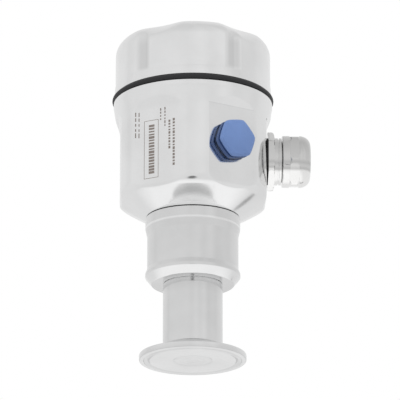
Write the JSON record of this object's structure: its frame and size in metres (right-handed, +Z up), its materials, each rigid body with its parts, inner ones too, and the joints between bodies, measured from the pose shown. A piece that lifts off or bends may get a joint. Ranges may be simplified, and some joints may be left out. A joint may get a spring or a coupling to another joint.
{
  "type": "pressure transmitter",
  "caption": "Hygienic pressure transmitter: clamp ferrule, turned sensor collar, swivelling steel housing with flats, fluted screw cover, cable gland and blue blanking plug.",
  "frame": {"origin": "centre of the clamp ferrule's sealing face", "axes": "+Z up the transmitter's axis towards the cover, +X out of the cable gland"},
  "size_m": [0.0945, 0.0789, 0.1597],
  "materials": {
    "housing_steel": "bright fine-ground stainless steel",
    "cover_steel": "bright fine-ground stainless steel",
    "turned_steel": "fine-turned stainless steel",
    "diaphragm_steel": "thin rolled stainless sheet",
    "cell_steel": "machined steel",
    "circuit_board": "solder resist",
    "seal_rubber": "matt black rubber",
    "fastener_steel": "zinc-plated steel",
    "gland_metal": "nickel-plated, bright",
    "cage_plastic": "moulded",
    "plug_plastic": "moulded, satin",
    "vent_steel": "turned",
    "membrane": "porous sheet",
    "insert_plastic": "moulded",
    "terminal_plastic": "moulded",
    "key_plastic": "moulded"
  },
  "bodies": {
    "process": {"process_connector": "turned_steel", "isolating_diaphragm": "diaphragm_steel", "sensor_body": "turned_steel", "sensing_cell": "cell_steel", "cell_pins": "cell_steel", "sensor_board": "circuit_board", "swivel_seal": "seal_rubber", "swivel_circlip": "fastener_steel"},
    "housing": {"housing_body": "housing_steel", "swivel_set_screw": "fastener_steel", "electronics_insert": "insert_plastic", "insert_screws": "fastener_steel", "circuit_board": "circuit_board", "terminal_plate": "insert_plastic", "terminal_block": "terminal_plastic", "terminal_screws": "fastener_steel", "sensor_socket": "insert_plastic", "earth_clamp": "fastener_steel", "earth_screw": "fastener_steel", "gland_body": "gland_metal", "gland_gasket": "seal_rubber", "gland_grommet": "seal_rubber", "vent_plug": "vent_steel", "vent_membrane": "membrane"},
    "cover_seal": {"cover_seal": "seal_rubber"},
    "cover": {"cover": "cover_steel"},
    "gland_cage": {"gland_cage": "cage_plastic"},
    "gland_nut": {"gland_nut": "gland_metal"},
    "plug_seal": {"plug_seal": "seal_rubber"},
    "blanking_plug": {"blanking_plug": "plug_plastic"},
    "zero_key": {"zero_key": "key_plastic"},
    "span_key": {"span_key": "key_plastic"}
  },
  "joints": [
    {"name": "housing_swivel", "type": "hinge", "parent": "process", "child": "housing", "pos_m": [0, 0, 0.076], "axis": [0, 0, 1], "range_deg": [-190, 190]},
    {"name": "cover_lift", "type": "slide", "parent": "housing", "child": "cover_seal", "axis": [0, 0, 1], "range_m": [0, 0.0082]},
    {"name": "cover_turn", "type": "hinge", "parent": "cover_seal", "child": "cover", "pos_m": [0, 0, 0.14], "axis": [0, 0, 1], "range_deg": [0, 1440]},
    {"name": "gland_feed", "type": "slide", "parent": "housing", "child": "gland_cage", "axis": [1, 0, 0], "range_m": [0, 0.0046]},
    {"name": "gland_nut_turn", "type": "hinge", "parent": "gland_cage", "child": "gland_nut", "pos_m": [0.05, 0, 0.0991], "axis": [1, 0, 0], "range_deg": [0, 1080]},
    {"name": "plug_feed", "type": "slide", "parent": "housing", "child": "plug_seal", "axis": [0.5, -0.866, 0], "range_m": [0, 0.0076]},
    {"name": "plug_turn", "type": "hinge", "parent": "plug_seal", "child": "blanking_plug", "pos_m": [0.019, -0.03291, 0.0991], "axis": [0.5, -0.866, 0], "range_deg": [0, 1800]},
    {"name": "zero_key_press", "type": "slide", "parent": "housing", "child": "zero_key", "axis": [0, 0, 1], "range_m": [-0.0008, 0], "stiffness_N_per_m": 1500, "springref_m": 0.0005},
    {"name": "span_key_press", "type": "slide", "parent": "housing", "child": "span_key", "axis": [0, 0, 1], "range_m": [-0.0008, 0], "stiffness_N_per_m": 1500, "springref_m": 0.0005}
  ],
  "couplings": [
    {"joint": "cover_lift", "follows": "cover_turn", "m_per_rad": 0.00031831},
    {"joint": "gland_feed", "follows": "gland_nut_turn", "m_per_rad": 0.00023873},
    {"joint": "plug_feed", "follows": "plug_turn", "m_per_rad": 0.00023873}
  ]
}
